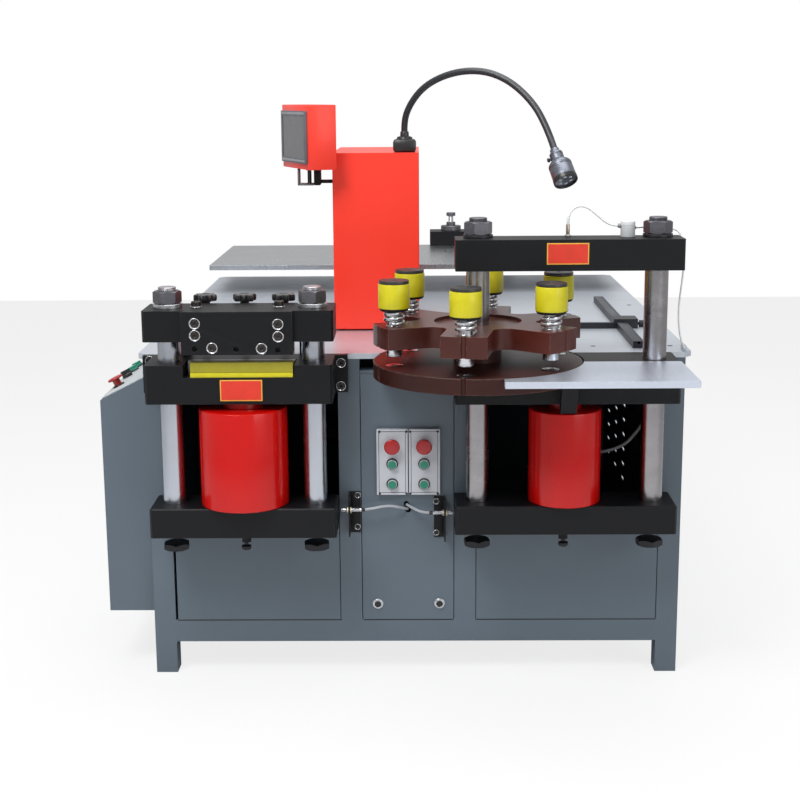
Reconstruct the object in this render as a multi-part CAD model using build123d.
from build123d import *
import math
import os

# Every length is in millimetres. X runs to the right along the front of the cabinet, Y runs to the
# back and Z runs up. The model is drawn about the middle of the cabinet's front edge at the floor,
# and is set down at the end with its origin under the middle of its outer box.

# Cabinet and table
cabinet_width = 1480.0
cabinet_depth = 1735.0
post_size = 60.0
tube_wall = 4.0
leg_height = 93.0
bottom_rail = 65.0
top_rail = 60.0
front_rail = 50.0
front_rail_gap = 5.0
left_bay = 470.0
right_bay = 510.0
left_cover_gap = 7.0
cover_sheet = 3.0
cover_gap = 2.0
lower_cover_drop = 423.0
centre_cover_drop = 57.0
vent_rows = 7
vent_columns = 3
vent_length = 60.0
vent_height = 9.0
vent_pitch_y = 198.0
vent_pitch_z = 53.0
vent_last_inset = 215.0
vent_first_z = 273.0
table_height = 923.0
table_plate = 15.0
table_overhang = 18.0
table_back_overhang = 10.0
table_chamfer = 22.0

# What both presses share
press_axis_y = -100.0
press_depth = 147.0
column_diameter = 62.0
column_thread = 48.0
column_slide_gap = 0.6
nut_flats = 66.0
nut_height = 34.0
washer_diameter = 78.0
washer_height = 11.0
thread_stick_out = 10.0
plate_edge_break = 3.0
plate_corner = 5.0
flange_thickness = 24.0
cylinder_shoulder = 7.0
ram_slide_gap = 0.6
ram_hidden_length = 115.0
bore_spare_depth = 12.0
foot_bolt_head = 25.0
foot_bolt_neck = 16.0
foot_bolt_length = 32.0

# Shear press
shear_from_left = 280.0
shear_spacing = 383.5
shear_width = 500.0
shear_base_drop = 471.0
shear_base_thickness = 81.0
shear_cylinder_diameter = 237.0
shear_cylinder_length = 252.0
shear_ram_diameter = 108.0
shear_block_height = 104.0
shear_block_left = 249.0
shear_block_right = 245.0
shear_flange_height = 103.0
shear_flange_left = 279.0
shear_flange_right = 279.0
shear_beam_rise = 62.0
shear_beam_height = 82.0
recess_width = 293.0
recess_depth = 33.0
blade_thickness = 20.0
blade_length = 286.0
blade_side_gap = 0.5
blade_opening = 22.0
holder_width = 291.0
holder_thickness = 18.0
holder_rise = 28.0
holder_height = 105.0
holder_edge = 2.0
holder_screw_bore = 26.0
holder_screw_reach = 108.0
holder_lower_reach = 64.0
holder_screw_drop = 32.0
pad_length = 270.0
pad_left_gap = 19.0
pad_depth = 40.0
pad_height = 40.0
pad_lip = 8.0
pad_step = 2.0
pad_front_gap = 3.0
clamp_bar_length = 352.0
clamp_bar_depth = 30.0
clamp_bar_height = 26.0
clamp_bar_rise = 97.0
clamp_bar_gap = 20.0
clamp_post_size = 28.0
clamp_screw_diameter = 14.0
clamp_screw_gap = 0.4
clamp_screw_foot_rise = 25.0
star_knob_diameter = 62.0
star_knob_height = 16.0
star_knob_rise = 139.0
star_knob_spacing = 107.0
star_knob_points = 7

# Punch press
punch_from_right = 336.5
punch_spacing = 469.0
punch_width = 591.0
punch_base_drop = 464.0
punch_base_thickness = 78.0
punch_cylinder_diameter = 194.0
punch_cylinder_length = 249.0
punch_ram_diameter = 88.0
die_beam_height = 108.0
punch_beam_rise = 243.0
punch_beam_height = 81.0
punch_beam_depth = 112.0
bracket_width = 42.0
bracket_reach = 62.0
bracket_drop = 112.0
bracket_toe = 20.0
support_right = 299.5
support_left = 180.0
support_front_y = -417.0
support_back_y = -140.0
support_thickness = 17.0

# Turret, which turns about the punch press's left column
station_count = 6
turret_angle = 20.3
disc_radius = 278.0
disc_thickness = 43.0
disc_gap = 3.0
disc_seat_gap = 1.0
die_diameter = 47.0
die_hole = 15.0
die_lip = 0.5
star_rise = 50.0
star_thickness = 55.0
star_reach = 279.0
star_arm_width = 118.0
star_end_draw = 0.5
star_valley_fillet = 36.0
star_recess_radius = 116.0
star_recess_depth = 9.0
star_notch = 14.0
hub_radius = 64.0
hub_bore_gap = 0.8
punch_body_diameter = 45.0
punch_guide_gap = 0.5
punch_tip_rise = 25.0
punch_collar_rise = 133.0
punch_collar_diameter = 72.0
punch_collar_height = 6.0
sleeve_diameter = 84.5
sleeve_height = 71.0
sleeve_bore_gap = 0.5
cap_diameter = 80.0
cap_height = 9.0
spring_wire = 3.4
spring_radius = 27.0
spring_turns = 2.4
spring_end_gap = 0.6

# Beam sensor, its junction and cable
sensor_left = 1.0
sensor_diameter = 10.0
sensor_height = 34.0
junction_right = 156.0
junction_diameter = 38.0
junction_height = 42.0
white_cable = 5.0
gland_inset = 19.0
gland_y = 16.0
gland_rise = 11.0
gland_diameter = 12.0
gland_length = 26.0
white_cable_bow = [
    (404.0, -100.0, 358.0),
    (404.0, -100.0, 377.0),
    (414.0, -99.0, 396.0),
    (435.0, -97.0, 405.0),
    (456.0, -95.0, 399.0),
    (477.0, -94.0, 382.0),
    (500.0, -95.0, 362.0),
    (518.0, -98.0, 354.0),
    (533.7, -100.0, 352.0),
]
white_cable_route = [
    (578.5, -87.0, 346.0),
    (600.0, -70.0, 346.0),
    (634.0, -46.0, 344.0),
    (668.0, -48.0, 342.0),
    (697.0, -61.0, 338.0),
    (709.0, -76.0, 313.0),
    (713.0, -81.0, 270.0),
    (711.0, -77.0, 217.0),
    (706.0, -70.0, 162.0),
    (705.0, -62.0, 112.0),
    (711.0, -50.0, 65.0),
    (722.0, -32.0, 32.0),
    (731.0, -10.0, 15.0),
    (739.0, 14.5, 11.0),
]

# Front controls
station_width = 86.0
station_height = 186.0
station_depth = 14.0
station_gap = 3.0
station_rim = 5.0
station_rim_rise = 1.2
station_x = -17.5
station_drop = 303.0
stop_diameter = 42.0
stop_height = 16.0
stop_neck = 22.0
stop_rise = 44.0
button_diameter = 27.0
button_height = 9.0
button_drop_first = 8.0
button_drop_second = 65.0
button_travel_gap = 4.5
button_bezel = 31.0
button_stem = 16.0
stem_gap = 0.5
stem_length = 10.0
sensor_bracket_width = 32.0
sensor_bracket_height = 118.0
sensor_bracket_reach = 50.0
sensor_bracket_sheet = 4.0
left_bracket_x = -167.0
right_bracket_x = 69.0
left_bracket_drop = 448.0
right_bracket_drop = 462.5
left_sensor_drop = 432.0
right_sensor_drop = 441.0
prox_diameter = 12.0
prox_length = 57.0
prox_reach = 21.0
prox_nut = 18.0
prox_nut_height = 5.0
sensor_y = -38.0
grey_cable = 7.5
cable_hole_x = -21.0
cable_hole_drop = 434.5
cable_slot_length = 34.0
cable_slot_width = 15.0
cable_slot_turn = 74.0
left_cable_route = [
    (-143.9, -38.0, -432.0),
    (-118.0, -39.0, -429.0),
    (-90.0, -36.0, -423.0),
    (-62.0, -28.0, -424.0),
    (-37.0, -15.0, -433.0),
    (-20.0, 3.0, -441.5),
]
right_cable_route = [
    (49.5, -38.0, -441.0),
    (32.0, -38.5, -441.0),
    (15.0, -33.0, -439.0),
    (-4.0, -20.0, -434.0),
    (-23.0, 3.0, -429.0),
]

# Side console on the left
console_width = 133.0
console_bottom_z = 174.0
console_outer_drop = 135.0
console_inner_drop = 68.0
console_front_y = 35.0
console_depth = 525.0
console_panel = 3.0
console_margin = 6.0
console_stop_y = 140.0
console_selector_y = 275.0
console_button_ys = (365.0, 435.0)
console_row = 0.26
selector_diameter = 30.0
selector_height = 12.0
selector_grip = 8.0

# Upright, display and lamp
upright_left_x = -238.0
upright_right_x = 16.0
upright_front_y = 392.0
upright_depth = 490.0
upright_foot_height = 6.0
upright_foot_inset = 22.0
upright_height = 525.0
display_width = 270.0
display_depth = 83.0
display_height = 184.0
display_rise = 480.0
display_x = -308.0
display_y = 440.0
display_turn = 69.0
bezel_width = 246.0
bezel_height = 150.0
bezel_thickness = 8.0
bezel_edge = 14.0
screen_recess = 2.0
yoke_width = 68.0
yoke_drop = 50.0
yoke_strap = 6.0
yoke_depth = 44.0
yoke_block = 20.0
pivot_pin = 12.0
arm_height = 16.0
arm_depth = 20.0
lamp_base_size = 68.0
lamp_base_height = 46.0
lamp_base_y = 437.0
lamp_base_x = -26.0
gooseneck_diameter = 19.0
lamp_head_diameter = 68.0
lamp_head_neck = 40.0
lamp_head_length = 108.0
lamp_lens_depth = 5.0
lamp_lens_rim = 4.0

# Length gauge on the table
gauge_from_right = 134.5
gauge_width = 31.0
gauge_front_y = 64.0
gauge_length = 920.0
gauge_height = 19.0
gauge_slot = 8.0
gauge_slot_depth = 7.0
slider_y = 445.0
slider_length = 70.0
slider_left_wrap = 7.0
slider_right_wrap = 33.0
slider_top = 9.0
slider_gap = 0.5
stop_bar_height = 17.0
stop_bar_depth = 16.0
stop_bar_reach = 150.0
clamp_knob_diameter = 20.0
clamp_knob_length = 22.0

# Rear bending station
rear_inset = 9.0
rear_front_y = 1260.0
rear_depth = 702.0
rear_plate_rise = 82.0
rear_plate_thickness = 17.0
pedestal_width = 220.0
pedestal_depth = 420.0
pedestal_front_y = 1290.0
anvil_x = 62.0
anvil_width = 168.0
anvil_depth = 113.0
anvil_height = 56.0
anvil_overhang = 65.0
anvil_vee = 16.0
anvil_disc_diameter = 80.0
anvil_disc_height = 20.0
anvil_screw_diameter = 20.0
anvil_screw_height = 52.0
anvil_screw_head = 36.0
ram_slot_length = 210.0
ram_slot_width = 20.0
ram_head_length = 90.0
ram_head_width = 46.0
ram_head_height = 26.0
ram_head_gap = 0.5
ram_nose_radius = 14.0
ram_start_gap = 95.0
ram_shoe = 24.0
ram_edge_gap = 2.0

# Hydraulic power unit
tank_width = 520.0
tank_depth = 380.0
tank_height = 300.0
tank_x = -110.0
tank_y = 1050.0
motor_diameter = 190.0
motor_length = 260.0
pump_block = 120.0
hose_diameter = 9.0

# Worked out from the values above
half_cabinet = cabinet_width / 2
lower_cover_top = table_height - lower_cover_drop
centre_cover_top = table_height - centre_cover_drop
vent_first_y = cabinet_depth - vent_last_inset - (vent_columns - 1) * vent_pitch_y
shear_x = -half_cabinet + shear_from_left
shear_base_z = table_height - shear_base_drop
shear_block_z = table_height - shear_block_height
shear_block_left_x = shear_x - shear_block_left
shear_block_right_x = shear_x + shear_block_right
shear_flange_z = table_height - shear_flange_height
shear_flange_left_x = shear_x - shear_flange_left
shear_flange_right_x = shear_x + shear_flange_right
shear_beam_z = table_height + shear_beam_rise
recess_floor_z = table_height - recess_depth
upper_blade_z = table_height + blade_opening
holder_z = table_height + holder_rise
clamp_bar_z = table_height + clamp_bar_rise
clamp_screw_foot_z = table_height + clamp_screw_foot_rise
star_knob_z = table_height + star_knob_rise
punch_x = half_cabinet - punch_from_right
punch_base_z = table_height - punch_base_drop
die_beam_z = table_height - die_beam_height
punch_beam_z = table_height + punch_beam_rise
support_right_x = punch_x + support_right
support_left_x = punch_x - support_left
star_z = table_height + star_rise
punch_tip_z = table_height + punch_tip_rise
punch_collar_z = table_height + punch_collar_rise
sensor_x = punch_x - sensor_left
junction_x = punch_x + junction_right
gland_x = half_cabinet + table_overhang - gland_inset
gland_z = table_height + gland_rise
station_z = table_height - station_drop
left_bracket_z = table_height - left_bracket_drop
right_bracket_z = table_height - right_bracket_drop
left_sensor_z = table_height - left_sensor_drop
right_sensor_z = table_height - right_sensor_drop
cable_hole_z = table_height - cable_hole_drop
console_outer_z = table_height - console_outer_drop
console_inner_z = table_height - console_inner_drop
upright_top_z = table_height + upright_height
display_z = table_height + display_rise
gauge_left_x = half_cabinet - gauge_from_right
rear_left_x = -half_cabinet + rear_inset
rear_width = 2 * (half_cabinet - rear_inset)
rear_plate_z = table_height + rear_plate_rise
rail_bottom = leg_height
rail_top = leg_height + bottom_rail
table_bottom = table_height - table_plate
post_2_x = -half_cabinet + post_size + left_bay
post_3_x = half_cabinet - post_size - right_bay - post_size
press_front_y = press_axis_y - press_depth / 2
press_back_y = press_axis_y + press_depth / 2
shear_columns_x = [shear_x - shear_spacing / 2, shear_x + shear_spacing / 2]
punch_columns_x = [punch_x - punch_spacing / 2, punch_x + punch_spacing / 2]
turret_x = punch_columns_x[0]
pitch_radius = punch_x - turret_x
disc_bottom = table_height - disc_thickness
front_rail_top = disc_bottom - front_rail_gap
shear_base_top = shear_base_z + shear_base_thickness
shear_beam_top = shear_beam_z + shear_beam_height
punch_base_top = punch_base_z + punch_base_thickness
punch_beam_top = punch_beam_z + punch_beam_height
star_top = star_z + star_thickness
sleeve_z = punch_collar_z + punch_collar_height
cap_z = sleeve_z + sleeve_height
blade_y = press_axis_y - 5.0
slope = math.degrees(math.atan2(console_inner_z - console_outer_z, console_width))
floor_z = rail_top - cover_sheet
inner_back_y = cabinet_depth - post_size

nodes = {}


def span(x0, x1, y0, y1, z0, z1):
    return Pos((x0 + x1) / 2, (y0 + y1) / 2, (z0 + z1) / 2) * Box(x1 - x0, y1 - y0, z1 - z0)


def rod(x, y, diameter, z0, z1):
    return Pos(x, y, (z0 + z1) / 2) * Cylinder(diameter / 2, z1 - z0)


def rod_y(x, z, diameter, y0, y1):
    return Pos(x, (y0 + y1) / 2, z) * Rot(90, 0, 0) * Cylinder(diameter / 2, y1 - y0)


def rod_x(y, z, diameter, x0, x1):
    return Pos((x0 + x1) / 2, y, z) * Rot(0, 90, 0) * Cylinder(diameter / 2, x1 - x0)


def hexagon(x, y, flats, z0, z1):
    outline = Pos(x, y, z0) * RegularPolygon(flats / 2, 6, major_radius=False)
    return extrude(outline, z1 - z0)


def upright_edges(solid):
    return solid.edges().filter_by(Axis.Z)


def plate(x0, x1, y0, y1, z0, z1, edge):
    block = span(x0, x1, y0, y1, z0, z1)
    return chamfer(upright_edges(block), edge)


def cut_rods(solid, places, diameter, z0, z1):
    for x, y in places:
        solid -= rod(x, y, diameter, z0, z1)
    return solid


def cord(points, diameter):
    """A round cord along straight runs, joined by arcs. Its points have their heights above the table top."""
    corners = [Vector(x, y, table_height + z) for x, y, z in points]
    runs = [b - a for a, b in zip(corners, corners[1:])]
    radii = []
    for one, other in zip(runs, runs[1:]):
        half_turn = math.radians(one.get_angle(other)) / 2
        radii.append(0.45 * min(one.length, other.length) / math.tan(half_turn))
    path = FilletPolyline(*corners, radius=radii)
    start = Plane(origin=path @ 0, z_dir=path % 0)
    tube = sweep(start * Circle(diameter / 2), path=path)
    area = math.pi * diameter**2 / 4
    print(
        "cord",
        round(path.length, 1),
        "radii",
        [round(r) for r in radii],
        "volume ratio",
        round(tube.volume / (area * path.length), 4),
    )
    return tube


# Cabinet


def cabinet_frame():
    """Posts, rails and floor sheet, welded into one cage."""
    left = -half_cabinet
    right = half_cabinet
    back = cabinet_depth
    size = post_size
    cage = span(left, right, 0, size, rail_bottom, rail_top)
    cage += span(left, right, back - size, back, rail_bottom, rail_top)
    cage += span(left, left + size, 0, back, rail_bottom, rail_top)
    cage += span(right - size, right, 0, back, rail_bottom, rail_top)
    for x in (left, right - size):
        cage += span(x, x + size, 0, size, 0, table_bottom)
        cage += span(x, x + size, back - size, back, 0, table_bottom)
        cage += span(x, x + size, 0, back, table_bottom - top_rail, table_bottom)
    cage += span(left, right, back - size, back, table_bottom - top_rail, table_bottom)
    cage += span(left, right, cover_sheet, size, front_rail_top - front_rail, front_rail_top)
    cage += span(post_2_x, post_2_x + size, 0, size, rail_top, table_bottom)
    cage += span(post_3_x, post_3_x + size, 0, size, rail_top, front_rail_top)
    cage += span(left + size, right - size, size, back - size, floor_z, rail_top)
    return cage


def table_top():
    left = -half_cabinet - table_overhang
    right = half_cabinet + table_overhang
    back = cabinet_depth + table_back_overhang
    top = span(left, right, 0, back, table_bottom, table_height)
    top = chamfer(upright_edges(top), table_chamfer)
    top -= rod(turret_x, press_axis_y, 2 * (disc_radius + disc_gap), table_bottom - 1, table_height + 1)
    y1 = gland_y + gland_length
    top += rod_y(gland_x, gland_z, gland_diameter, gland_y, y1)
    half = gland_diameter / 2
    return top + span(gland_x - half, gland_x + half, gland_y + half, y1, table_height, gland_z)


def side_cover(x0, x1):
    return span(x0, x1, post_size + cover_gap, inner_back_y - cover_gap, rail_top, table_bottom - top_rail)


def left_cover():
    return side_cover(-half_cabinet, -half_cabinet + cover_sheet)


def right_cover():
    sheet = side_cover(half_cabinet - cover_sheet, half_cabinet)
    for column in range(vent_columns):
        for row in range(vent_rows):
            y = vent_first_y + column * vent_pitch_y
            z = vent_first_z + row * vent_pitch_z
            slot = SlotOverall(vent_length, vent_height)
            cutter = extrude(Plane.YZ * slot, 3 * cover_sheet, both=True)
            sheet -= Pos(half_cabinet, y, z) * cutter
    return sheet


def rear_cover():
    half = half_cabinet - post_size - cover_gap
    z1 = table_bottom - top_rail - cover_gap
    return span(-half, half, cabinet_depth - cover_sheet, cabinet_depth, rail_top, z1)


def front_cover(x0, x1, z1):
    return span(x0, x1, 0, cover_sheet, rail_top, z1)


def front_covers():
    left_x = -half_cabinet + post_size + left_cover_gap
    left = front_cover(left_x, post_2_x - cover_gap, lower_cover_top)
    centre = front_cover(post_2_x + post_size + cover_gap, post_3_x - cover_gap, centre_cover_top)
    right_x = post_3_x + post_size + cover_gap
    right = front_cover(right_x, half_cabinet - post_size - cover_gap, lower_cover_top)
    slot = extrude(SlotOverall(cable_slot_length, cable_slot_width), 2 * cover_sheet, both=True)
    centre -= Pos(cable_hole_x, 0, cable_hole_z) * Rot(90, 0, 0) * Rot(0, 0, -cable_slot_turn) * slot
    return Compound(children=[left, centre, right])


# Presses: a ram pushes up against a fixed block, so the cylinder, base plate, columns and top beam
# travel down together


def base_plate(x, width, z0, thickness, columns_x):
    body = plate(x - width / 2, x + width / 2, press_front_y, press_back_y, z0, z0 + thickness, plate_corner)
    body = chamfer(body.faces().sort_by(Axis.Z)[-1].edges(), plate_edge_break)
    places = [(cx, press_axis_y) for cx in columns_x]
    body = cut_rods(body, places, column_thread, z0 - 1, z0 + thickness + 1)
    body += rod(x, press_axis_y, foot_bolt_neck, z0 - foot_bolt_length * 0.6, z0)
    body += rod(x, press_axis_y, foot_bolt_head, z0 - foot_bolt_length, z0 - foot_bolt_length * 0.6)
    return body


def cylinder_body(x, diameter, ram_diameter, z0, length):
    barrel = rod(x, press_axis_y, diameter, z0, z0 + length)
    barrel = fillet(barrel.edges().sort_by(Axis.Z)[0], 4 * plate_edge_break)
    barrel = fillet(barrel.edges().sort_by(Axis.Z)[-1], cylinder_shoulder)
    top = z0 + length
    bore = ram_diameter + 2 * ram_slide_gap
    return barrel - rod(x, press_axis_y, bore, top - ram_hidden_length - bore_spare_depth, top + 1)


def ram(x, diameter, cylinder_top, z1):
    return rod(x, press_axis_y, diameter, cylinder_top - ram_hidden_length, z1)


def press_rams():
    shear = ram(shear_x, shear_ram_diameter, shear_base_top + shear_cylinder_length, shear_block_z)
    punch = ram(punch_x, punch_ram_diameter, punch_base_top + punch_cylinder_length, die_beam_z)
    return Compound(children=[shear, punch])


def column(x, base_z, base_top, beam_z, beam_top):
    """A guide column with a thread at each end, and the nuts and washers that hold it."""
    low = base_z - nut_height
    high = beam_top + washer_height + nut_height + thread_stick_out
    shaft = rod(x, press_axis_y, column_diameter, base_top, beam_z)
    shaft += rod(x, press_axis_y, column_thread, low, base_top)
    shaft += rod(x, press_axis_y, column_thread, beam_z, high)
    shaft = chamfer(shaft.edges().sort_by(Axis.Z)[-1], plate_edge_break)
    hole = column_thread
    washer = rod(x, press_axis_y, washer_diameter, beam_top, beam_top + washer_height)
    washer -= rod(x, press_axis_y, hole, beam_top, beam_top + washer_height)
    pieces = [shaft, washer]
    for z0 in (base_z - nut_height, beam_top + washer_height):
        nut = hexagon(x, press_axis_y, nut_flats, z0, z0 + nut_height)
        corner = rod(x, press_axis_y, nut_flats * 1.13, z0, z0 + nut_height)
        corner = chamfer(corner.edges(), 2 * plate_edge_break)
        nut = nut & corner
        pieces.append(nut - rod(x, press_axis_y, hole, z0, z0 + nut_height))
    return pieces


def columns(columns_x, base_z, base_top, beam_z, beam_top):
    pieces = []
    for x in columns_x:
        pieces += column(x, base_z, base_top, beam_z, beam_top)
    return Compound(children=pieces)


# Shear press


def shear_die_block():
    """The fixed block with the blade recess, and the flange that bolts it to the cabinet."""
    x0 = shear_block_left_x
    x1 = shear_block_right_x
    block = plate(x0, x1, press_front_y, 0, shear_block_z, table_height, 2 * plate_edge_break)
    flange_y = -flange_thickness
    block += span(shear_flange_left_x, shear_flange_right_x, flange_y, 0, shear_flange_z, table_height)
    recess_back = blade_y + blade_thickness
    half = recess_width / 2
    block -= span(shear_x - half, shear_x + half, press_front_y - 1, recess_back, recess_floor_z, table_height + 1)
    hole = column_diameter + 2 * column_slide_gap
    places = [(x, press_axis_y) for x in shear_columns_x]
    return cut_rods(block, places, hole, shear_block_z - 1, table_height + 1)


def blade(z0, z1, y0):
    half = blade_length / 2
    return span(shear_x - half, shear_x + half, y0, y0 + blade_thickness, z0, z1)


def lower_blade():
    return blade(recess_floor_z, table_height, blade_y)


def upper_blade():
    """Slides down the front of the lower blade. Its edge is ground to a shallow bevel."""
    y0 = blade_y - blade_side_gap - blade_thickness
    body = blade(upper_blade_z, shear_beam_z, y0)
    edge = body.edges().filter_by(Axis.X).group_by(Axis.Z)[0].sort_by(Axis.Y)[0]
    return chamfer(edge, 3.0)


def shear_pad():
    x0 = shear_x - recess_width / 2 + pad_left_gap
    x1 = x0 + pad_length
    y0 = press_front_y + pad_front_gap
    top = recess_floor_z + pad_height
    body = span(x0, x1, y0, y0 + pad_depth, recess_floor_z, top)
    return body - span(x0, x1, y0, y0 + pad_step, recess_floor_z + pad_lip, top)


def shear_top_beam():
    x0 = shear_x - shear_width / 2
    x1 = shear_x + shear_width / 2
    beam = plate(x0, x1, press_front_y, press_back_y, shear_beam_z, shear_beam_top, 2 * plate_edge_break)
    places = [(x, press_axis_y) for x in shear_columns_x]
    return cut_rods(beam, places, column_thread, shear_beam_z - 1, shear_beam_top + 1)


def blade_holder():
    half = holder_width / 2
    y0 = press_front_y - holder_thickness
    holder = span(shear_x - half, shear_x + half, y0, press_front_y, holder_z, holder_z + holder_height)
    holder = chamfer(holder.faces().sort_by(Axis.Y)[0].edges(), holder_edge)
    row_z = holder_z + holder_height - 25.0
    places = [(side * holder_screw_reach, row_z - i * holder_screw_drop) for side in (-1, 1) for i in (0, 1)]
    places += [(side * holder_lower_reach, row_z - 2 * holder_screw_drop) for side in (-1, 1)]
    for dx, z in places:
        holder -= rod_y(shear_x + dx, z, holder_screw_bore, y0 - 1, y0 + holder_thickness * 0.6)
    # a spigot carries the holder on to the blade behind it
    spigot_top = shear_beam_z - blade_side_gap
    back = blade_y - blade_side_gap - blade_thickness
    return holder + span(shear_x - half, shear_x + half, y0 + holder_edge, back, holder_z, spigot_top)


def clamp_bar_y():
    return press_back_y + clamp_bar_gap + clamp_bar_depth / 2


def clamp_bar():
    """The crossbar behind the beam, on two posts, that carries the three hold-down screws."""
    half = clamp_bar_length / 2
    y0 = clamp_bar_y() - clamp_bar_depth / 2
    y1 = y0 + clamp_bar_depth
    z1 = clamp_bar_z + clamp_bar_height
    bar = span(shear_x - half, shear_x + half, y0, y1, clamp_bar_z, z1)
    for side in (-1, 1):
        x = shear_x + side * (half - clamp_post_size / 2)
        bar += span(x - clamp_post_size / 2, x + clamp_post_size / 2, y0, y1, table_height, z1)
    hole = clamp_screw_diameter + 2 * clamp_screw_gap
    places = [(shear_x + i * star_knob_spacing, clamp_bar_y()) for i in (-1, 0, 1)]
    return cut_rods(bar, places, hole, clamp_bar_z - 1, z1 + 1)


def star_knob(index):
    x = shear_x + (index - 1) * star_knob_spacing
    y = clamp_bar_y()
    knob = rod(x, y, star_knob_diameter, star_knob_z, star_knob_z + star_knob_height)
    for i in range(star_knob_points):
        angle = 2 * math.pi * i / star_knob_points
        reach = star_knob_diameter / 2 + 3.0
        place = (x + reach * math.cos(angle), y + reach * math.sin(angle))
        knob = cut_rods(knob, [place], star_knob_diameter * 0.2, star_knob_z - 1, star_knob_z + star_knob_height + 1)
    knob += rod(x, y, clamp_screw_diameter * 1.8, clamp_bar_z + clamp_bar_height + 6.0, star_knob_z)
    knob += rod(x, y, clamp_screw_diameter, clamp_screw_foot_z, star_knob_z)
    return knob + rod(x, y, clamp_screw_diameter * 1.7, clamp_screw_foot_z - 6.0, clamp_screw_foot_z)


# Punch press


def die_beam():
    """The fixed beam under the turret, pocketed for the disc, with the bracket of the support plate."""
    x0 = punch_x - punch_width / 2
    x1 = punch_x + punch_width / 2
    beam = plate(x0, x1, press_front_y, press_back_y, die_beam_z, table_height, 2 * plate_edge_break)
    beam += span(x0, x1, press_back_y, 0, die_beam_z, table_height)
    under_plate = table_height - support_thickness
    profile = Polyline(
        (press_front_y, under_plate - bracket_drop),
        (press_front_y - bracket_toe, under_plate - bracket_drop),
        (press_front_y - bracket_reach, under_plate - bracket_toe),
        (press_front_y - bracket_reach, under_plate),
        (press_front_y, under_plate),
        close=True,
    )
    face = make_face(Plane.YZ * profile)
    bracket = extrude(face, bracket_width / 2, both=True)
    beam += Pos(punch_x, 0, 0) * bracket
    beam -= plate_space()
    pocket_z = disc_bottom - disc_seat_gap
    beam -= rod(turret_x, press_axis_y, 2 * (disc_radius + disc_gap), pocket_z, table_height + 1)
    hole = column_diameter + 2 * column_slide_gap
    places = [(x, press_axis_y) for x in punch_columns_x]
    beam = cut_rods(beam, places, hole, die_beam_z - 1, table_height + 1)
    return beam


def plate_space():
    """The step in the beam's top in which the support plate's back edge lies."""
    z0 = table_height - support_thickness
    return span(support_left_x, support_right_x + 1, support_front_y, support_back_y, z0, table_height + 1)


def support_plate():
    x0 = support_left_x
    x1 = support_right_x
    z0 = table_height - support_thickness
    body = plate(x0, x1, support_front_y, support_back_y, z0, table_height, 2.0)
    return body - rod(turret_x, press_axis_y, 2 * (disc_radius + disc_gap), z0 - 1, table_height + 1)


def punch_top_beam():
    x0 = punch_x - punch_width / 2
    x1 = punch_x + punch_width / 2
    y1 = press_front_y + punch_beam_depth
    beam = plate(x0, x1, press_front_y, y1, punch_beam_z, punch_beam_top, plate_edge_break)
    places = [(x, press_axis_y) for x in punch_columns_x]
    return cut_rods(beam, places, column_thread, punch_beam_z - 1, punch_beam_top + 1)


# Turret


def station_angle(index):
    return math.radians(turret_angle + index * 360.0 / station_count)


def station_place(index, radius):
    angle = station_angle(index)
    return (turret_x + radius * math.cos(angle), press_axis_y + radius * math.sin(angle))


def star_outline():
    """Six straight arms that end on the disc's own radius."""
    arms = Sketch()
    for index in range(station_count):
        angle = math.degrees(station_angle(index))
        arms += Rot(0, 0, angle) * Pos(star_reach / 2, 0) * Rectangle(star_reach, star_arm_width)
    return arms & Circle(star_reach - star_end_draw)


def turret_star():
    star = Pos(turret_x, press_axis_y, star_z) * extrude(star_outline(), star_thickness)
    valley = [e for e in upright_edges(star) if valley_distance(e) < star_arm_width * 1.2]
    star = fillet(valley, star_valley_fillet)
    star -= rod(turret_x, press_axis_y, 2 * star_recess_radius, star_top - star_recess_depth, star_top + 1)
    hub_z = table_height
    star += rod(turret_x, press_axis_y, 2 * hub_radius, hub_z, star_z)
    bore = column_diameter + 2 * hub_bore_gap
    star -= rod(turret_x, press_axis_y, bore, hub_z - 1, star_top + 1)
    for index in range(station_count):
        x, y = station_place(index, pitch_radius)
        star -= rod(x, y, punch_body_diameter + 2 * punch_guide_gap, star_z - 1, star_top + 1)
        x, y = station_place(index, star_reach)
        star -= rod(x, y, star_notch, star_z - 1, star_top + 1)
    return star


def valley_distance(edge):
    centre = edge.center()
    return math.hypot(centre.X - turret_x, centre.Y - press_axis_y)


def turret_disc():
    disc = rod(turret_x, press_axis_y, 2 * disc_radius, disc_bottom, table_height)
    disc = chamfer(disc.edges(), 2.0)
    bore = column_diameter + 2 * hub_bore_gap
    disc -= rod(turret_x, press_axis_y, bore, disc_bottom - 1, table_height + 1)
    for index in range(station_count):
        x, y = station_place(index, pitch_radius)
        disc -= rod(x, y, die_diameter, table_height - 30.0, table_height + 1)
        disc -= rod(x, y, 2 * die_hole, disc_bottom - 1, table_height)
        x, y = station_place(index, disc_radius)
        disc -= rod(x, y, star_notch, disc_bottom - 1, table_height + 1)
    for index in range(station_count):
        x, y = station_place(index, pitch_radius)
        die = rod(x, y, die_diameter, table_height - 30.0, table_height + die_lip)
        die -= rod(x, y, die_hole, table_height - 31.0, table_height + 1)
        disc += die
    return disc


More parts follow.
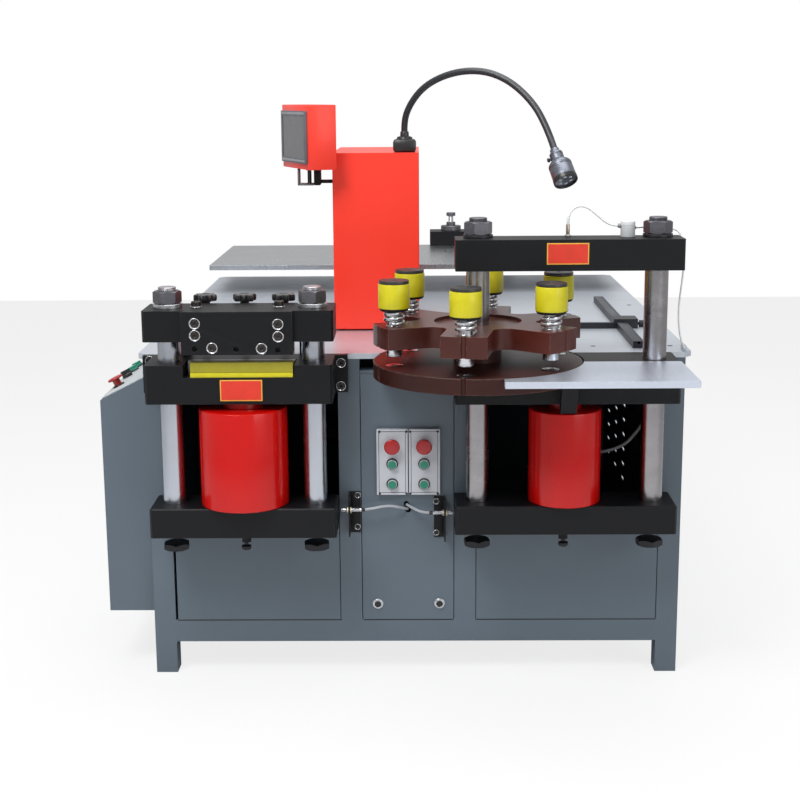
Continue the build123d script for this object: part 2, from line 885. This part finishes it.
def turret_punch(index):
    """A punch with its collar, the urethane stripper sleeve round it, and the cap that the beam strikes."""
    x, y = station_place(index, pitch_radius)
    tool = rod(x, y, punch_body_diameter, punch_tip_z, punch_collar_z)
    tool = chamfer(tool.edges().sort_by(Axis.Z)[0], 3.0)
    tool += rod(x, y, punch_collar_diameter, punch_collar_z, sleeve_z)
    tool += rod(x, y, punch_body_diameter, sleeve_z, cap_z)
    cap = rod(x, y, cap_diameter, cap_z, cap_z + cap_height)
    cap = chamfer(cap.edges().sort_by(Axis.Z)[-1], 1.5)
    tool += cap
    tool -= rod(x, y, 9.0, cap_z + cap_height - 4.0, cap_z + cap_height + 1)
    sleeve = rod(x, y, sleeve_diameter, sleeve_z, cap_z)
    sleeve = fillet(sleeve.edges(), 2.0)
    sleeve -= rod(x, y, punch_body_diameter, sleeve_z - 1, cap_z + 1)
    return Compound(children=[tool, sleeve])


def punch_springs():
    height = punch_collar_z - star_top - 2 * spring_end_gap - spring_wire
    pitch = height / spring_turns
    springs = []
    for index in range(station_count):
        x, y = station_place(index, pitch_radius)
        path = Helix(pitch, height, spring_radius)
        section = Plane(origin=path @ 0, z_dir=path % 0) * Rectangle(spring_wire, spring_wire)
        coil = sweep(section, path=path, is_frenet=True)
        springs.append(Pos(x, y, star_top + spring_end_gap + spring_wire / 2) * coil)
    return Compound(children=springs)


# Beam sensor and cable


def beam_sensor():
    body = rod(sensor_x, press_axis_y, sensor_diameter, punch_beam_top, punch_beam_top + sensor_height)
    body += hexagon(sensor_x, press_axis_y, sensor_diameter * 1.5, punch_beam_top, punch_beam_top + 6.0)
    top = punch_beam_top + junction_height
    pot = rod(junction_x, press_axis_y, junction_diameter, punch_beam_top, top)
    pot = fillet(pot.edges().sort_by(Axis.Z)[-1], 3.0)
    pot += rod_x(press_axis_y, top - 12.0, 12.0, junction_x - junction_diameter / 2 - 8.0, junction_x)
    return Compound(children=[body, pot])


# Front controls


def station_centres():
    half = (station_width + station_gap) / 2
    return (station_x - half, station_x + half)


def button_stations():
    plates = []
    for x in station_centres():
        z0 = station_z - station_height / 2
        face = span(x - station_width / 2, x + station_width / 2, -station_depth, 0, z0, z0 + station_height)
        face = fillet(face.edges().filter_by(Axis.Y), 3.0)
        y = -station_depth
        half = station_width / 2 - station_rim
        z1 = z0 + station_height - station_rim
        face -= span(x - half, x + half, y - 1, y + station_rim_rise, z0 + station_rim, z1)
        for drop in button_drops():
            face -= rod_y(x, station_z + drop, button_stem + 2 * stem_gap, -station_depth - 1, 0)
        plates.append(face)
    return Compound(children=plates)


def button_drops():
    return (stop_rise, -button_drop_first, -button_drop_second)


def push_button(x, z, head, height):
    face_y = -station_depth + station_rim_rise - button_travel_gap
    button = rod_y(x, z, head, face_y - height, face_y)
    button = fillet(button.edges().sort_by(Axis.Y)[0], 1.5)
    return button + rod_y(x, z, button_stem, face_y, face_y + stem_length)


def stop_button(x, z):
    face_y = -station_depth + station_rim_rise - button_travel_gap
    neck_y = face_y - stop_height
    sketch = Plane.YZ * make_face(
        Polyline((neck_y, 0), (neck_y, stop_neck / 2), (face_y, stop_neck / 2), (face_y, 0), close=True)
    )
    button = Pos(x, 0, z) * revolve(sketch, Axis.Y)
    head = rod_y(x, z, stop_diameter, neck_y - stop_height / 2, neck_y)
    head = fillet(head.edges().sort_by(Axis.Y)[0], stop_height * 0.3)
    return button + head + rod_y(x, z, button_stem, face_y, face_y + stem_length)


def sensor_brackets():
    """Each bracket is a folded angle with its sensor through the outward leg, held by two nuts."""
    pieces = []
    left = (left_bracket_x, left_bracket_z, left_sensor_z, -1)
    right = (right_bracket_x, right_bracket_z, right_sensor_z, 1)
    half = sensor_bracket_height / 2
    half_width = sensor_bracket_width / 2
    sheet = sensor_bracket_sheet
    for x, middle_z, z, side in (left, right):
        edge = x + side * half_width
        inside = edge - side * sheet
        angle = span(x - half_width, x + half_width, -sheet, 0, middle_z - half, middle_z + half)
        angle += beside(edge, inside, -sensor_bracket_reach, 0, middle_z - half, middle_z + half)
        angle -= rod_x(sensor_y, z, prox_diameter, edge - 2 * sheet, edge + 2 * sheet)
        sensor = bar(z, sensor_tail(x, side), edge + side * prox_reach, prox_diameter)
        sensor += bar(z, edge, edge + side * prox_nut_height, prox_nut)
        sensor += bar(z, inside, inside - side * prox_nut_height, prox_nut)
        pieces += [angle, sensor]
    return Compound(children=pieces)


def sensor_tail(x, side):
    return x + side * (sensor_bracket_width / 2 + prox_reach - prox_length)


def beside(xa, xb, y0, y1, z0, z1):
    return span(min(xa, xb), max(xa, xb), y0, y1, z0, z1)


def bar(z, xa, xb, diameter):
    return rod_x(sensor_y, z, diameter, min(xa, xb), max(xa, xb))


# Side console


def console_point(share, rise):
    """A point on the sloped panel: share runs from its outer to its inner edge, rise is along its normal."""
    angle = math.radians(slope)
    x = -half_cabinet - console_width * (1 - share) - rise * math.sin(angle)
    z = console_outer_z + (console_inner_z - console_outer_z) * share + rise * math.cos(angle)
    return x, z


def on_panel(y, rise):
    x, z = console_point(console_row, rise)
    return Pos(x, y, z) * Rot(0, -slope, 0)


def console_box():
    x0 = -half_cabinet - console_width
    profile = Polyline(
        (x0, console_bottom_z),
        (-half_cabinet, console_bottom_z),
        (-half_cabinet, console_inner_z),
        (x0, console_outer_z),
        close=True,
    )
    box = Pos(0, console_front_y + console_depth, 0) * extrude(make_face(Plane.XZ * profile), console_depth)
    panel_length = console_width / math.cos(math.radians(slope)) - 2 * console_margin
    middle_y = console_front_y + console_depth / 2
    x, z = console_point(0.5, console_panel / 2)
    panel = Box(panel_length, console_depth - 2 * console_margin, console_panel)
    box += Pos(x, middle_y, z) * Rot(0, -slope, 0) * panel
    for y in (console_stop_y, console_selector_y):
        box -= on_panel(y, 0) * Cylinder(button_stem / 2 + stem_gap, 30.0)
    for y in console_button_ys:
        box += on_panel(y, console_panel + 4.0) * Cylinder(button_bezel / 2, 8.0)
        box += on_panel(y, console_panel + 11.0) * Cylinder(button_diameter / 2, 6.0)
    return box


def console_stop():
    rise = console_panel + button_travel_gap
    neck = on_panel(console_stop_y, rise + stop_height / 2) * Cylinder(stop_neck / 2, stop_height)
    head = on_panel(console_stop_y, rise + stop_height * 1.25) * Cylinder(stop_diameter / 2, stop_height / 2)
    stem = on_panel(console_stop_y, rise - stem_length / 2) * Cylinder(button_stem / 2, stem_length)
    return neck + head + stem


def console_selector():
    rise = console_panel + stem_gap
    knob = on_panel(console_selector_y, rise + selector_height / 2) * Cylinder(selector_diameter / 2, selector_height)
    grip = Box(selector_grip, selector_diameter, selector_height)
    grip = on_panel(console_selector_y, rise + selector_height * 1.4) * grip
    stem = on_panel(console_selector_y, rise - stem_length / 2) * Cylinder(button_stem / 2, stem_length)
    return knob + grip + stem


# Upright, display and lamp


def upright_box():
    y1 = upright_front_y + upright_depth
    z0 = table_height + upright_foot_height
    box = plate(upright_left_x, upright_right_x, upright_front_y, y1, z0, upright_top_z, 2.0)
    inset = upright_foot_inset
    x0 = upright_left_x + inset
    return box + span(x0, upright_right_x - inset, upright_front_y + inset, y1 - inset, table_height, z0)


def display_place():
    return Pos(display_x, display_y, 0) * Rot(0, 0, -display_turn)


def display_box():
    """A sheet box with its screen bezel on the face that is turned to the left."""
    middle_z = display_z + display_height / 2
    box = Pos(0, 0, middle_z) * Box(display_width, display_depth, display_height)
    box = fillet(upright_edges(box), 2.0)
    face_y = -display_depth / 2
    bezel = Pos(0, face_y - bezel_thickness / 2, middle_z) * Box(bezel_width, bezel_thickness, bezel_height)
    bezel = chamfer(bezel.faces().sort_by(Axis.Y)[0].edges(), 2.5)
    screen_y = face_y - bezel_thickness
    window = Box(bezel_width - 2 * bezel_edge, 2 * screen_recess, bezel_height - 2 * bezel_edge)
    bezel -= Pos(0, screen_y, middle_z) * window
    return display_place() * (box + bezel)


def display_bracket():
    """A strap yoke under the display, its swivel block, and the arm to the upright."""
    z1 = display_z
    z0 = display_z - yoke_drop
    half = yoke_width / 2
    x0 = display_x - half
    x1 = display_x + half
    y0 = display_y - yoke_depth / 2
    y1 = y0 + yoke_depth
    strap = span(x0, x1, y0, y1, z0, z0 + yoke_strap)
    strap += span(x0, x0 + yoke_strap, y0, y1, z0, z1)
    strap += span(x1 - yoke_block, x1, y0, y1, z0, z1)
    strap += rod(display_x, display_y, pivot_pin, z0 + yoke_strap, z1)
    arm_y = display_y - arm_depth / 2
    return strap + span(x1 - yoke_block, upright_left_x, arm_y, arm_y + arm_depth, z0 + yoke_strap, z0 + arm_height)


lamp_route = [
    (-26.0, 437.0, 571.0),
    (-28.0, 434.0, 612.0),
    (-12.0, 415.0, 659.0),
    (24.0, 388.0, 707.0),
    (76.0, 356.0, 739.0),
    (140.0, 322.0, 756.0),
    (205.0, 292.0, 754.0),
    (262.0, 264.0, 731.0),
    (308.0, 238.0, 694.0),
    (343.0, 208.0, 651.0),
    (366.0, 182.0, 604.0),
    (383.0, 155.0, 558.0),
    (388.0, 131.0, 536.0),
]
lamp_direction = (0.26, -0.56, -0.786)


def lamp_base():
    z0 = upright_top_z
    z1 = z0 + lamp_base_height
    half = lamp_base_size / 2
    base = span(lamp_base_x - half, lamp_base_x + half, lamp_base_y - half, lamp_base_y + half, z0, z1)
    base = chamfer(upright_edges(base), 12.0)
    return chamfer(base.faces().sort_by(Axis.Z)[-1].edges(), 7.0)


def lamp_head():
    """A turned shade: a narrow neck, a cone and a straight barrel with the lens set into its mouth."""
    neck = gooseneck_diameter / 2 + 3.0
    wide = lamp_head_diameter / 2
    shoulder = lamp_head_neck
    end = lamp_head_length
    outline = Polyline(
        (0, 0),
        (neck, 0),
        (neck, shoulder * 0.4),
        (wide, shoulder),
        (wide, end),
        (wide - lamp_lens_rim, end),
        (wide - lamp_lens_rim, end - lamp_lens_depth),
        (0, end - lamp_lens_depth),
        close=True,
    )
    head = revolve(Plane.XZ * make_face(outline), Axis.Z)
    tip = Vector(*lamp_route[-1]) + Vector(0, 0, table_height) - Vector(*lamp_direction) * 6.0
    return Plane(origin=tip, z_dir=lamp_direction) * head


def lamp():
    return lamp_base() + cord(lamp_route, gooseneck_diameter) + lamp_head()


# Length gauge


def gauge_rail():
    x0 = gauge_left_x
    x1 = x0 + gauge_width
    y1 = gauge_front_y + gauge_length
    z1 = table_height + gauge_height
    rail = span(x0, x1, gauge_front_y, y1, table_height, z1)
    middle = (x0 + x1) / 2
    slot = gauge_slot / 2
    return rail - span(middle - slot, middle + slot, gauge_front_y - 1, y1 + 1, z1 - gauge_slot_depth, z1 + 1)


def gauge_slider():
    x0 = gauge_left_x - slider_gap - slider_left_wrap
    x1 = gauge_left_x + gauge_width + slider_gap + slider_right_wrap
    y0 = slider_y - slider_length / 2
    y1 = y0 + slider_length
    z0 = table_height + slider_gap
    rail_top_z = table_height + gauge_height + slider_gap
    block = span(x0, x1, y0, y1, z0, rail_top_z + slider_top)
    block -= span(x0 + slider_left_wrap, x1 - slider_right_wrap, y0 - 1, y1 + 1, z0 - 1, rail_top_z)
    bar_y = y0 + stop_bar_depth
    block += span(x0 - stop_bar_reach, x0, y0, bar_y, z0, z0 + stop_bar_height)
    z = z0 + gauge_height / 2
    block += rod_x(slider_y, z, clamp_knob_diameter * 0.5, x1, x1 + clamp_knob_length * 0.4)
    return block + rod_x(slider_y, z, clamp_knob_diameter, x1 + clamp_knob_length * 0.4, x1 + clamp_knob_length)


# Rear bending station


def rear_plate():
    """The raised plate on its pedestal, slotted for the shank of the bending ram."""
    x1 = rear_left_x + rear_width
    y1 = rear_front_y + rear_depth
    z1 = rear_plate_z + rear_plate_thickness
    top = plate(rear_left_x, x1, rear_front_y, y1, rear_plate_z, z1, 4.0)
    x0 = upright_left_x + 15.0
    py = pedestal_front_y
    top += span(x0, x0 + pedestal_width, py, py + pedestal_depth, table_height, rear_plate_z)
    slot_x = ram_start_x() - ram_start_gap
    slot_y = bend_axis_y()
    half = ram_slot_width / 2
    return top - span(slot_x, slot_x + ram_slot_length, slot_y - half, slot_y + half, rear_plate_z - 1, z1 + 1)


def bend_axis_y():
    return rear_front_y + rear_depth - ram_head_width / 2 - ram_edge_gap


def ram_start_x():
    return anvil_x + anvil_width + ram_start_gap


def bend_anvil():
    z0 = rear_plate_z + rear_plate_thickness
    y1 = rear_front_y + rear_depth + anvil_overhang
    y0 = y1 - anvil_depth
    x1 = anvil_x + anvil_width
    anvil = plate(anvil_x, x1, y0, y1, z0, z0 + anvil_height, 2.0)
    vee = Polyline((x1 + 1, -anvil_vee / 2), (x1 + 1, anvil_vee / 2), (x1 - anvil_vee / 2, 0), close=True)
    cutter = extrude(make_face(vee), anvil_height * 3, both=True)
    return anvil - Pos(0, bend_axis_y(), z0) * cutter


def anvil_screw_place():
    return anvil_x + anvil_width / 2, rear_front_y + rear_depth + anvil_overhang - anvil_depth / 2


def bend_screw():
    x, y = anvil_screw_place()
    z0 = rear_plate_z + rear_plate_thickness + anvil_height
    z1 = z0 + anvil_disc_height
    disc = chamfer(rod(x, y, anvil_disc_diameter, z0, z1).edges(), 1.5)
    z2 = z1 + anvil_screw_height
    head = 14.0
    disc += rod(x, y, anvil_screw_head, z1, z1 + head)
    disc += rod(x, y, anvil_screw_diameter, z1, z2)
    return disc + hexagon(x, y, anvil_screw_head, z2 - head, z2)


def bend_ram():
    z0 = rear_plate_z + rear_plate_thickness + ram_head_gap
    x0 = ram_start_x()
    y = bend_axis_y()
    half = ram_head_width / 2
    head = span(x0, x0 + ram_head_length, y - half, y + half, z0, z0 + ram_head_height)
    nose = rod(x0, y, 2 * ram_nose_radius, z0, z0 + ram_head_height)
    shank_half = ram_slot_width / 2 - ram_head_gap
    shank = span(x0 + 10.0, x0 + 60.0, y - shank_half, y + shank_half, rear_plate_z - ram_shoe, z0)
    shoe = span(x0, x0 + 70.0, y - half, y + half, rear_plate_z - ram_shoe, rear_plate_z - ram_head_gap)
    return head + nose + shank + shoe


# Hydraulic power unit


def hydraulic_unit():
    x0 = tank_x - tank_width / 2
    y0 = tank_y - tank_depth / 2
    top = rail_top + tank_height
    tank = span(x0, x0 + tank_width, y0, y0 + tank_depth, rail_top, top)
    tank = fillet(upright_edges(tank), 12.0)
    motor_z = top + motor_diameter / 2 + 10.0
    motor = rod_x(tank_y, motor_z, motor_diameter, x0 + 20.0, x0 + 20.0 + motor_length)
    foot = span(x0 + 60.0, x0 + motor_length - 20.0, tank_y - 70.0, tank_y + 70.0, top, motor_z)
    pump_x = x0 + 20.0 + motor_length
    half = pump_block / 2
    pump = span(pump_x, pump_x + pump_block, tank_y - half, tank_y + half, top, motor_z + half)
    return tank + motor + foot + pump


# Cords


def sensor_cables():
    left = cord(left_cable_route, grey_cable)
    right = cord(right_cable_route, grey_cable)
    return Compound(children=[left, right])


def beam_cable():
    bow = cord(white_cable_bow, white_cable)
    drop = cord(white_cable_route, white_cable)
    return Compound(children=[bow, drop])


# Every piece, under the name of its file

nodes["cabinet_frame"] = cabinet_frame()
nodes["table_plate"] = table_top()
nodes["left_side_panel"] = left_cover()
nodes["right_side_panel"] = right_cover()
nodes["rear_panel"] = rear_cover()
nodes["front_panels"] = front_covers()
nodes["hydraulic_unit"] = hydraulic_unit()
nodes["console_box"] = console_box()
nodes["console_stop"] = console_stop()
nodes["console_selector"] = console_selector()
nodes["button_stations"] = button_stations()
nodes["proximity_sensors"] = sensor_brackets()
nodes["sensor_cables"] = sensor_cables()
nodes["press_rams"] = press_rams()
nodes["shear_die_block"] = shear_die_block()
nodes["shear_lower_blade"] = lower_blade()
nodes["shear_pad"] = shear_pad()
nodes["shear_base_plate"] = base_plate(
    shear_x, shear_width, shear_base_z, shear_base_thickness, shear_columns_x
)
nodes["shear_cylinder"] = cylinder_body(
    shear_x, shear_cylinder_diameter, shear_ram_diameter, shear_base_top, shear_cylinder_length
)
nodes["shear_columns"] = columns(
    shear_columns_x, shear_base_z, shear_base_top, shear_beam_z, shear_beam_top
)
nodes["shear_top_beam"] = shear_top_beam()
nodes["shear_blade_holder"] = blade_holder()
nodes["shear_upper_blade"] = upper_blade()
nodes["clamp_bar"] = clamp_bar()
for index in range(3):
    nodes[f"star_knob_{index + 1}"] = star_knob(index)
nodes["punch_die_beam"] = die_beam()
nodes["support_plate"] = support_plate()
nodes["punch_base_plate"] = base_plate(
    punch_x, punch_width, punch_base_z, punch_base_thickness, punch_columns_x
)
nodes["punch_cylinder"] = cylinder_body(
    punch_x, punch_cylinder_diameter, punch_ram_diameter, punch_base_top, punch_cylinder_length
)
nodes["punch_columns"] = columns(
    punch_columns_x, punch_base_z, punch_base_top, punch_beam_z, punch_beam_top
)
nodes["punch_top_beam"] = punch_top_beam()
nodes["beam_sensor"] = beam_sensor()
nodes["beam_cable"] = beam_cable()
nodes["turret_disc"] = turret_disc()
nodes["turret_star"] = turret_star()
nodes["punch_springs"] = punch_springs()
for index in range(station_count):
    nodes[f"punch_{index + 1}"] = turret_punch(index)
for side, x in zip(("left", "right"), station_centres()):
    nodes[f"stop_button_{side}"] = stop_button(x, station_z + stop_rise)
    nodes[f"start_button_{side}"] = push_button(
        x, station_z - button_drop_first, button_diameter, button_height
    )
    nodes[f"return_button_{side}"] = push_button(
        x, station_z - button_drop_second, button_diameter, button_height
    )
nodes["upright_box"] = upright_box()
nodes["display_bracket"] = display_bracket()
nodes["display_box"] = display_box()
nodes["lamp"] = lamp()
nodes["gauge_rail"] = gauge_rail()
nodes["gauge_slider"] = gauge_slider()
nodes["rear_plate"] = rear_plate()
nodes["bend_block"] = bend_anvil()
nodes["bend_screw"] = bend_screw()
nodes["bend_ram"] = bend_ram()

boxes = [solid.bounding_box() for solid in nodes.values()]
low_x = min(box.min.X for box in boxes)
high_x = max(box.max.X for box in boxes)
low_y = min(box.min.Y for box in boxes)
high_y = max(box.max.Y for box in boxes)
low_z = min(box.min.Z for box in boxes)
origin_shift = Pos(-(low_x + high_x) / 2, -(low_y + high_y) / 2, -low_z)

os.makedirs("parts", exist_ok=True)
for name, solid in nodes.items():
    export_step(origin_shift * solid, f"parts/{name}.step")
print(len(nodes), "pieces")
